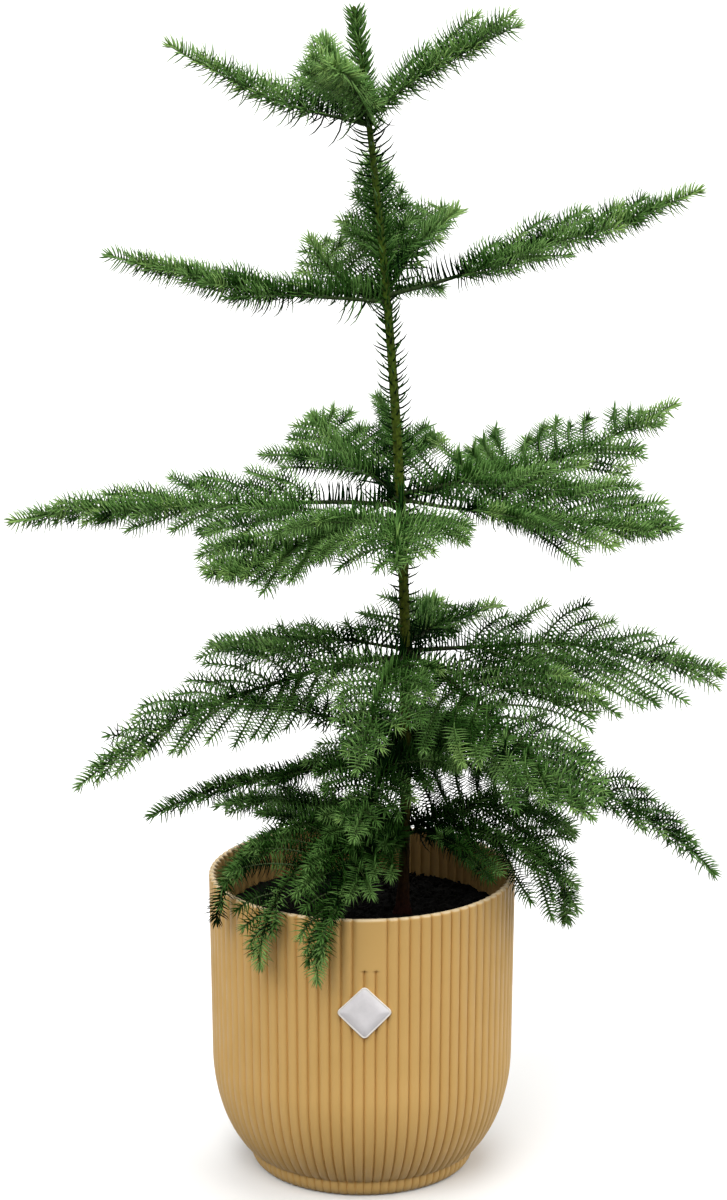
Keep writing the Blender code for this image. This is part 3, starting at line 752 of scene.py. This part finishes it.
def scatter_crumbs(dice, reach):
    """Irregular eight-faced crumbs and long fibres, whose points lie both ways along three skew axes."""
    count = CRUMBS
    distance = (reach - 2 * MM) * np.sqrt(dice.uniform(0, 1, count))
    turn = dice.uniform(0, 2 * np.pi, count)
    height = SOIL_TOP - 1 * MM + dice.uniform(-1, 1.5, count) * MM
    middle = np.stack([distance * np.cos(turn), distance * np.sin(turn), height], axis=-1)
    fibre = dice.uniform(0, 1, count) < FIBRE_SHARE
    size = np.where(fibre, 0.35, dice.uniform(0.6, 1.9, count)) * MM
    first = unit(dice.normal(0, 1, (count, 3)) * [1, 1, 0.4])
    second = unit(np.cross(first, dice.normal(0, 1, (count, 3))))
    third = np.cross(first, second)
    long = size * np.where(fibre, dice.uniform(8, 18, count), dice.uniform(1, 1.8, count))
    axes = [first * long[:, None], second * size[:, None], third * size[:, None] * 0.7]
    points = np.stack([middle + sign * axis for axis in axes for sign in (1, -1)], axis=1)
    corners = np.array([
        [0, 2, 4], [2, 1, 4], [1, 3, 4], [3, 0, 4],
        [2, 0, 5], [1, 2, 5], [3, 1, 5], [0, 3, 5],
    ])
    faces = (corners[None] + np.arange(count)[:, None, None] * 6).reshape(-1, 3)
    crumb = material_of("bark_crumb", (0.004, 0.0034, 0.0024), 0.9, Specular_IOR_Level=0.15)
    surface("compost_crumbs", points.reshape(-1, 3), [faces], crumb, ["soil"], smooth=False)


# Trunk, fronds and twigs

def trunk_points(z):
    """The trunk's middle at heights: it bows to the right above the soil, then leans left to its tip."""
    share = (z - SOIL_TOP) / (TRUNK_TOP - SOIL_TOP)
    return np.stack([TRUNK_BASE_X + TRUNK_SWAY * share - TRUNK_LEAN * share * share, 0 * z, z], axis=-1)


def trunk_radii(z):
    """The trunk's radius at heights: thinner as a power of the height, and flared at the root."""
    share = np.clip((z - SOIL_TOP) / (TRUNK_TOP - SOIL_TOP), 0, 1)
    taper = blend(TRUNK_RADIUS, TRUNK_TIP_RADIUS, share ** TAPER_POWER)
    return taper + FLARE * np.exp(-(z - SOIL_TOP) / FLARE_HEIGHT)


def frond_curve(whorl, frond, steps=60):
    """Points along a frond's stem from the trunk's middle.

    Its pitch runs from the first to the last value, and it wanders slowly about its bearing and pitch.
    """
    order = whorl.fronds.index(frond)
    share = (np.arange(steps) + 0.5) / steps
    sway = 2 * np.pi * (SWAYS * share + order * GOLDEN)
    heading = np.radians(frond.bearing) + WANDER * np.sin(sway)
    pitch = np.radians(blend(frond.pitch, frond.tip_pitch, share ** whorl.bend)) + WANDER * np.cos(sway)
    flat = np.stack([np.cos(heading), np.sin(heading), 0 * heading], axis=-1)
    moves = np.cos(pitch)[:, None] * flat + np.sin(pitch)[:, None] * UP
    height = whorl.height * MM + STAGGER * (order * GOLDEN % 1 - 0.5)
    start = trunk_points(np.array([height]))
    return np.vstack([start, start + np.cumsum(moves * frond.length * MM / steps, axis=0)])


def on_frond(frond, curve, share):
    """Points at shares of a frond's length, with the stem's direction, left side and top there.

    The sides are turned about the stem so that the frond's plane leans low at the front.
    """
    place = np.clip(share, 0, 1) * (len(curve) - 1)
    low = np.minimum(place.astype(int), len(curve) - 2)
    step = curve[low + 1] - curve[low]
    point = curve[low] + step * (place - low)[:, None]
    ahead = unit(step)
    heading = np.radians(frond.bearing)
    left = np.broadcast_to([-np.sin(heading), np.cos(heading), 0], point.shape)
    top = np.cross(ahead, left)
    lean = FRONT_LEAN * left[:, 1:2]
    left = left * np.cos(lean) + top * np.sin(lean)
    return point, ahead, left, np.cross(ahead, left)


def twig_length(along, longest):
    """Side twigs are fullest a quarter of the way out and shorten to the tip."""
    opening = np.minimum(1, along / TWIG_FULL_AT)
    return longest * blend(TWIG_SHARE_AT_ROOT, 1, opening) * (1 - along ** TWIG_FALL)


def side_twigs(whorl, frond, curve, stations=9):
    """Paths of a frond's side twigs, with their tops, shares along the frond and lengths.

    Each leaves the stem at an angle, lifts out of the frond's plane and curls forward. Every twig differs a
    little from the rule, and a few have not grown.
    """
    leafy = frond.length * MM * (1 - whorl.bough)
    dice = np.random.default_rng(frond.throw)
    pairs = max(3, int(leafy / TWIG_GAP))
    count = 2 * pairs
    side = np.tile([-1.0, 1.0], pairs)
    order = np.repeat(np.arange(pairs), 2) + FIRST_PAIR + SIDE_STEP * side
    along = (order + dice.uniform(-TWIG_JITTER, TWIG_JITTER, count)) / (pairs + TIP_ROOM)
    longest = np.where(side > 0, frond.left_twig, frond.right_twig) * MM
    chance = dice.normal(1, TWIG_LENGTH_SPREAD, count)
    length = twig_length(along, longest) * np.clip(chance, *TWIG_LENGTH_LIMITS)
    angle = frond.spread * blend(*TWIG_ANGLE, along) + dice.normal(0, TWIG_ANGLE_SPREAD, count)
    curl = TWIG_CURL * dice.uniform(*TWIG_CURL_RANGE, count)
    rise = dice.normal(0, TWIG_RISE_SPREAD, count)
    grown = (length > SHORTEST_TWIG) & (dice.uniform(0, 1, count) > TWIG_LOSS)
    every = (side, along, length, angle, curl, rise)
    side, along, length, angle, curl, rise = (part[grown] for part in every)
    point, ahead, left, top = on_frond(frond, curve, whorl.bough + (1 - whorl.bough) * along)
    share = np.linspace(0, 1, stations)
    turn = angle[:, None] - curl[:, None] * share
    lift = blend(*TWIG_LIFT, share) + rise[:, None]
    beside = (left * side[:, None])[:, None]
    flat = ahead[:, None] * np.cos(turn)[..., None] + beside * np.sin(turn)[..., None]
    moves = flat * np.cos(lift)[..., None] + top[:, None] * np.sin(lift)[..., None]
    steps = moves[:, :-1] * (length / (stations - 1))[:, None, None]
    away = np.concatenate([np.zeros_like(point)[:, None], np.cumsum(steps, axis=1)], axis=1)
    paths = away + point[:, None]
    return paths, np.broadcast_to(top[:, None], paths.shape), along, length


def needles_along(paths, tops, lengths, per_mm, dice):
    """Where needles stand along many paths: in five even ranks, one of them along the top.

    They crowd a little towards the tip: the share still ahead is the row's rest raised to a power.
    Gives each needle's path, share along it, root, direction of its path, and outward direction.
    """
    count = np.maximum(3, (lengths / MM * per_mm).astype(int))
    owner = np.repeat(np.arange(len(paths)), count)
    order = np.arange(len(owner)) - np.repeat(np.cumsum(count) - count, count)
    row = (order + 0.5 + dice.uniform(-ROW_JITTER, ROW_JITTER, len(owner))) / count[owner]
    share = 1 - (1 - row) ** TIP_CROWDING
    place = share * (paths.shape[1] - 1)
    low = np.minimum(place.astype(int), paths.shape[1] - 2)
    step = paths[owner, low + 1] - paths[owner, low]
    root = paths[owner, low] + step * (place - low)[:, None]
    ahead = unit(step)
    top = tops[owner, low]
    top = unit(top - (top * ahead).sum(-1, keepdims=True) * ahead)
    turn = FIRST_RANK + order * RANK_TURN + dice.uniform(-RANK_JITTER, RANK_JITTER, len(owner))
    outward = np.cross(ahead, top) * np.cos(turn)[:, None] + top * np.sin(turn)[:, None]
    return owner, share, root, ahead, outward


def needle_mesh(root, ahead, outward, splay, bend, length, width, segments):
    """Slim three-sided spikes along an arc: a triangle at the start of each segment, and a point.

    A needle leaves its stem at the splay angle and swings towards the stem's own direction by the bend.
    """
    side = np.cross(ahead, outward)
    turn = np.array([1 / 2, 7 / 6, 11 / 6]) * np.pi
    rings, place = [], root
    for step in range(segments):
        angle = (splay - bend * step / (segments - 1))[:, None]
        forward = ahead * np.cos(angle) + outward * np.sin(angle)
        above = np.cross(side, forward)[:, None]
        across = side[:, None] * np.cos(turn)[:, None] + above * np.sin(turn)[:, None]
        half = width / 2 * (1 - THINNING * (step / (segments - 1)) ** 2)
        rings.append(place[:, None] + across * half[:, None, None])
        place = place + forward * (length / segments)[:, None]
    points = np.concatenate([*rings, place[:, None]], axis=1)
    corner = np.arange(3)
    beside = (corner + 1) % 3
    corners = [np.array([[0, 2, 1]])]
    for ring in range(0, 3 * (segments - 1), 3):
        corners.append(np.stack([corner, beside, beside + 3], axis=-1) + ring)
        corners.append(np.stack([corner, beside + 3, corner + 3], axis=-1) + ring)
    last = 3 * (segments - 1)
    corners.append(np.stack([corner + last, beside + last, 0 * corner + last + 3], axis=-1))
    faces = np.vstack(corners)[None] + np.arange(len(root))[:, None, None] * (last + 4)
    return points.reshape(-1, 3), faces.reshape(-1, 3)


def deal_needles(name, groups, paint, nodes):
    """Parts a whorl's needles by the shade of green that their spray was dealt, one piece for each shade.

    A group is a lightness for each needle, the needles themselves, and how many segments they bend in.
    """
    for index, green in enumerate(GREENS):
        points, faces, count = [], [], 0
        for light, needles, segments in groups:
            chosen = np.clip(np.round(light), 0, len(GREENS) - 1) == index
            if chosen.any():
                mesh = needle_mesh(*(part[chosen] for part in needles), segments)
                points.append(mesh[0])
                faces.append(mesh[1] + count)
                count += len(mesh[0])
        if points:
            surface(f"{name}_needles_{green}", np.vstack(points), faces, paint[green], nodes)


def spray_light(owner, share, sprays, dice):
    """One random number for each spray, a stretch of one path."""
    spray = owner * sprays + np.minimum((share * sprays).astype(int), sprays - 1)
    return dice.normal(0, SPRAY_SPREAD, spray.max() + 1)[spray]


def needle_size(whorl):
    """Needles are shorter on the low whorls than on the third, and longer at the top."""
    lowest, third, top = WHORLS[-1], WHORLS[2], WHORLS[0]
    heights = [lowest.height, third.height, top.height]
    return np.interp(whorl.height, heights, [LOW_NEEDLES, 1, TOP_NEEDLES])


def twig_needles(whorl, twigs, dice):
    """Brushes on the side twigs: needles shorten to the tip, where a few close to a point."""
    paths, tops, along, lengths = (np.concatenate(part) for part in zip(*twigs))
    owner, share, root, ahead, outward = needles_along(paths, tops, lengths, whorl.needles, dice)
    # Painted light and shade in part: sprays are dealt lighter to the tips and out along the frond, darker
    # near the trunk
    to_tip = (TIP_GAIN - TIP_GAIN_LOSS * whorl.light) * share ** 2
    outwards = OUTER_LIGHT * (along[owner] - OUTER_FROM)
    light = whorl.light + to_tip + outwards + spray_light(owner, share, TWIG_SPRAYS, dice)
    closed = ease(TWIG_TUFT, 0, (1 - share) * lengths[owner])
    splay = blend(blend(*TWIG_SPLAY, share ** 2), POINT_SPLAY, closed)
    bend = np.full(len(share), TWIG_BEND)
    shorter = np.clip(share * lengths[owner] / SHORTEN_OVER + SHORTEN_FROM, 0, 1)
    length = blend(STEM_NEEDLE, TIP_NEEDLE, shorter)
    length = needle_size(whorl) * blend(length, END_NEEDLE, closed)
    width = np.full(len(share), TWIG_WIDTH)
    return light, vary_needles(root, ahead, outward, splay, bend, length, width, dice), 2


def stem_needles(whorl, stems, dice):
    """Needles on the fronds' own stems: upright combs on top of the bare boughs, sparse hooks beneath."""
    paths, tops, lengths = (np.concatenate(part) for part in zip(*stems))
    owner, share, root, ahead, outward = needles_along(paths, tops, lengths, whorl.needles, dice)
    below = outward[:, 2] < UNDERSIDE
    beside = np.abs(outward[:, 2]) < SIDEWAYS
    bare = ease(whorl.bough + BARE_FADE, whorl.bough, share)
    old = ease(YOUNG_FROM, whorl.bough, share)
    dropped = np.where(beside, DROPPED_BESIDE, DROPPED_ABOVE) * bare
    dropped = np.where(below, blend(*DROPPED_BELOW, bare), dropped)
    rest = (1 - share) * lengths[owner]
    chance = dice.uniform(0, 1, len(share))
    kept = (share > CLEAR_OF_TRUNK) & (chance > dropped * ease(0, STEM_TUFT, rest))
    # Painted shade in part: needles on the stems, and most of all on the bare boughs, are dealt darker
    # greens
    light = whorl.light - STEM_SHADE + STEM_TIP_LIGHT * share ** 3 - BARE_SHADE * bare
    light = light + spray_light(owner, share, STEM_SPRAYS, dice)
    splay = blend(blend(STEM_SPLAY[0], COMB_SPLAY, bare), STEM_SPLAY[1], share ** 3)
    closed = ease(STEM_TUFT, 0, rest)
    splay = blend(np.where(below, np.minimum(splay, HOOK_SPLAY), splay), POINT_SPLAY, closed)
    bend = np.where(below, blend(TWIG_BEND, HOOK_BEND, old), blend(TWIG_BEND, COMB_BEND, old))
    length = blend(TIP_NEEDLE, blend(STEM_NEEDLE, BOUGH_NEEDLE, np.where(below, 1, bare)), old)
    length = needle_size(whorl) * blend(length, END_NEEDLE, closed)
    width = blend(TWIG_WIDTH, LONG_WIDTH, old)
    needles = vary_needles(root, ahead, outward, splay, bend, length, width, dice)
    return light[kept], tuple(part[kept] for part in needles), 3


def vary_needles(root, ahead, outward, splay, bend, length, width, dice):
    """Gives each needle its own small differences, and leans it a little towards the light."""
    count = len(root)
    outward = outward + LEAN_TO_LIGHT * UP
    outward = unit(outward - (outward * ahead).sum(-1, keepdims=True) * ahead)
    splay = splay + dice.normal(0, SPLAY_SPREAD, count)
    bend = bend + dice.normal(0, BEND_SPREAD, count)
    length = length * dice.uniform(*LENGTH_RANGE, count)
    width = width * dice.uniform(*WIDTH_RANGE, count)
    return root, ahead, outward, splay, bend, length, width


def make_fronds(paint, bark, twig_green, dice):
    """Every whorl: its stems from the trunk to their tips, its side twigs, and its needles."""
    stem_paths, stem_tops, stem_radii, boughs = [], [], [], []
    share = np.linspace(0, 1, STEM_STATIONS)
    for whorl in WHORLS:
        stems, twigs = [], []
        foliage = [f"{whorl.name}_{frond.name}_foliage" for frond in whorl.fronds]
        for frond in whorl.fronds:
            curve = frond_curve(whorl, frond)
            point, _, _, top = on_frond(frond, curve, share)
            whole = frond.length * MM
            stems.append((point[None], top[None], np.array([whole])))
            twigs.append(side_twigs(whorl, frond, curve))
            stem_paths.append(point)
            stem_tops.append(top)
            thick = STEM_RADIUS * np.clip(whole / FULL_STEM, *FULL_STEM_LIMITS)
            collar = COLLAR * np.exp(-share * whole / COLLAR_LENGTH)
            stem_radii.append(blend(thick, STEM_TIP_RADIUS, share ** STEM_TAPER_POWER) + collar)
            if whorl.bough:
                boughs.append(f"{whorl.name}_{frond.name}_bough")
        groups = [twig_needles(whorl, twigs, dice), stem_needles(whorl, stems, dice)]
        deal_needles(whorl.name, groups, paint, foliage)
        paths, tops, _, _ = (np.concatenate(part) for part in zip(*twigs))
        radii = blend(TWIG_RADIUS, TWIG_TIP_RADIUS, np.linspace(0, 1, paths.shape[1]))
        points, faces = limbs(paths, tops, radii * np.ones((len(paths), 1)), 5)
        surface(f"{whorl.name}_twigs", points, faces, twig_green, foliage)
    paths, tops, radii = np.array(stem_paths), np.array(stem_tops), np.array(stem_radii)
    turn = np.arange(STEM_SIDES) / STEM_SIDES * 2 * np.pi
    row = np.arange(STEM_STATIONS)[:, None]
    relief = 1 + STEM_RELIEF * np.cos(3 * turn + row * 1.1) * np.cos(2 * turn - row * 0.8)
    points, faces = limbs(paths, tops, radii, STEM_SIDES, relief[None])
    surface("frond_stems", points, faces, bark, boughs)


def make_trunk(bark):
    """The trunk: crossing spirals of low scales above, upright cracks towards the foot, and a root flare.

    Each is worked out from sines of the turn and the height, and scales the radius point by point.
    """
    z = np.linspace(SOIL_TOP - 3 * MM, TRUNK_TOP, 900)
    sides = 32
    turn = np.arange(sides) / sides * 2 * np.pi
    height = z[:, None]
    scales = np.cos(5 * turn + height / MM * 0.9) * np.cos(3 * turn - height / MM * 1.25)
    wavering = 1.8 * np.sin(height / MM * 0.11) + 0.6 * np.sin(height / MM * 0.37)
    cracks = np.abs(np.sin(4.5 * turn + wavering))
    rings = np.sin(height / MM * 0.75 + 1.5 * np.sin(2 * turn)) * np.sin(height / MM * 0.21 + turn)
    foot = ease(CRACKS_FROM, CRACKS_WHOLE, height)
    relief = 1 + SCALE_RELIEF * scales * (1 - SCALE_LOSS * foot)
    relief = relief - CRACK_DEPTH * foot * (1 - cracks) + RING_RELIEF * foot * rings
    above = np.clip(height - SOIL_TOP, 0, None)
    lobes = 1 + LOBE_RELIEF * np.cos(5 * turn + 0.7) * np.exp(-above / LOBE_HEIGHT)
    path = trunk_points(z)[None]
    tops = np.broadcast_to([0.0, 1.0, 0.0], path.shape)
    radii = trunk_radii(np.maximum(z, SOIL_TOP))
    points, faces = limbs(path, tops, radii[None], sides, (relief * lobes)[None])
    surface("trunk_bark", points, faces, bark, ["trunk"])


def make_trunk_needles(paint, dice):
    """Needles up the trunk: a close brush on the leader, long open hooks below it, and short stubs lower.

    The marks are heights in mm; gap, length, splay, bend and light run evenly from mark to mark.
    """
    marks = [215, 330, 402, 470, 510, 535, 565, 600, 622, 635, 681]
    gaps = [1.7, 1.3, 1.05, 0.9, 0.6, 0.5, 0.6, 0.95, 0.55, 0.3, 0.24]
    height, heights = marks[0] * MM, []
    while height < TRUNK_TOP - 3 * MM:
        heights.append(height)
        height += np.interp(height / MM, marks, gaps) * MM
    z = np.array(heights)
    turn = np.arange(len(z)) * GOLDEN_TURN + dice.uniform(-TRUNK_JITTER, TRUNK_JITTER, len(z))
    root = trunk_points(z)
    ahead = unit(np.gradient(root, axis=0))
    outward = np.stack([np.cos(turn), np.sin(turn), 0 * turn], axis=-1)
    length = np.interp(z / MM, marks, [8, 11.5, 12.5, 13.5, 12, 12, 16, 18, 15, 12.5, 10]) * MM
    splay = np.radians(np.interp(z / MM, marks, [88, 88, 86, 72, 62, 52, 66, 80, 76, 62, 50]))
    bend = np.radians(np.interp(z / MM, marks, [20, 30, 32, 32, 20, 14, 28, 34, 32, 24, 12]))
    # Painted shade in part: needles low on the trunk and just under the top whorl are dealt darker greens
    light = np.interp(z / MM, marks, [0.2, 0.4, 0.5, 0.6, 1.0, 1.4, 1.0, 0.7, 1.2, 2.0, 2.6])
    light = light + dice.normal(0, TRUNK_LIGHT_SPREAD, len(z))
    width = np.full(len(z), TRUNK_WIDTH)
    needles = vary_needles(root, ahead, outward, splay, bend, length, width, dice)
    deal_needles("trunk", [(light, needles, 3)], paint, ["trunk"])


# Stage, light and camera

STAGE_RADIUS = 80
STAGE_SIDES = 96
STAGE_DROP = 0.2 * MM
ROOM_HEIGHTS = (-0.15, 0.25)
ROOM_LIGHT = (0.03, 0.48)
PICTURE_HEIGHT = 1200


def make_floor():
    """A wide plain disc under the pot."""
    turn = np.arange(STAGE_SIDES) / STAGE_SIDES * 2 * np.pi
    height = np.full(STAGE_SIDES, -STAGE_DROP)
    points = np.stack([STAGE_RADIUS * np.cos(turn), STAGE_RADIUS * np.sin(turn), height], axis=-1)
    mesh = bpy.data.meshes.new("studio_floor")
    mesh.from_pydata(points.tolist(), [], [list(range(STAGE_SIDES))])
    mesh.materials.append(material_of("pale_floor", (0.86, 0.86, 0.85), 0.7))
    floor = bpy.data.objects.new("studio_floor", mesh)
    bpy.context.scene.collection.objects.link(floor)
    floor.visible_diffuse = False


def wide_sun(name, turn, height, spread, strength):
    """Even light from a bearing and a height above the floor, as wide as a big soft box, all in degrees."""
    lamp = bpy.data.lights.new(name, "SUN")
    lamp.angle = np.radians(spread)
    lamp.energy = strength
    thing = bpy.data.objects.new(name, lamp)
    turn, height = np.radians([turn, height])
    towards = Vector((np.cos(turn) * np.cos(height), np.sin(turn) * np.cos(height), np.sin(height)))
    thing.rotation_euler = towards.to_track_quat("Z", "Y").to_euler()
    bpy.context.scene.collection.objects.link(thing)


def make_light():
    """A white room, lit from above and dim below the floor's level, and three wide soft boxes."""
    world = bpy.data.worlds.new("white_room")
    world.use_nodes = True
    background = world.node_tree.nodes["Background"]
    background.inputs["Color"].default_value = (1, 1, 1, 1)
    brightness = ranged(world, height_of(world, "Generated"), *ROOM_HEIGHTS, *ROOM_LIGHT)
    feed(world, brightness, background.inputs["Strength"])
    bpy.context.scene.world = world
    wide_sun("key", -122, 48, 50, 2.45)
    wide_sun("fill", -20, 30, 60, 1.7)
    wide_sun("top", 80, 72, 40, 1.5)
    bpy.context.scene.view_settings.view_transform = "Standard"


def make_camera():
    """The picture's camera: 2 m from the pot's middle, 3 degrees to its left, looking 14 degrees down."""
    away, height = 2, 0.843
    aside, down = np.radians([-3, 14.05])
    camera = bpy.data.cameras.new("camera")
    camera.sensor_fit = "VERTICAL"
    camera.sensor_height = 36
    camera.lens = 107.22
    camera.shift_x = 1.5 / PICTURE_HEIGHT
    thing = bpy.data.objects.new("camera", camera)
    thing.location = (away * np.sin(aside), -away * np.cos(aside), height)
    thing.rotation_euler = (np.pi / 2 - down, 0, aside)
    bpy.context.scene.collection.objects.link(thing)
    bpy.context.scene.camera = thing


def main():
    """Makes the camera, the pot and what stands in it, and then the room."""
    dice = np.random.default_rng(SEED)
    paint = {
        green: material_of(f"needle_{green}", colour, 0.5, Specular_IOR_Level=NEEDLE_SHEEN * colour[1])
        for green, colour in GREENS.items()
    }
    bark = young_bark("trunk_bark", *TRUNK_BARK, TRUNK_GREEN_AT)
    stem_bark = young_bark("stem_bark", *STEM_BARK, STEM_GREEN_AT)
    twig_green = material_of("twig_green", (0.045, 0.075, 0.016), 0.6)
    make_camera()
    make_pot()
    make_tag()
    make_compost(dice)
    make_trunk(bark)
    make_trunk_needles(paint, dice)
    make_fronds(paint, stem_bark, twig_green, dice)
    make_floor()
    make_light()


main()
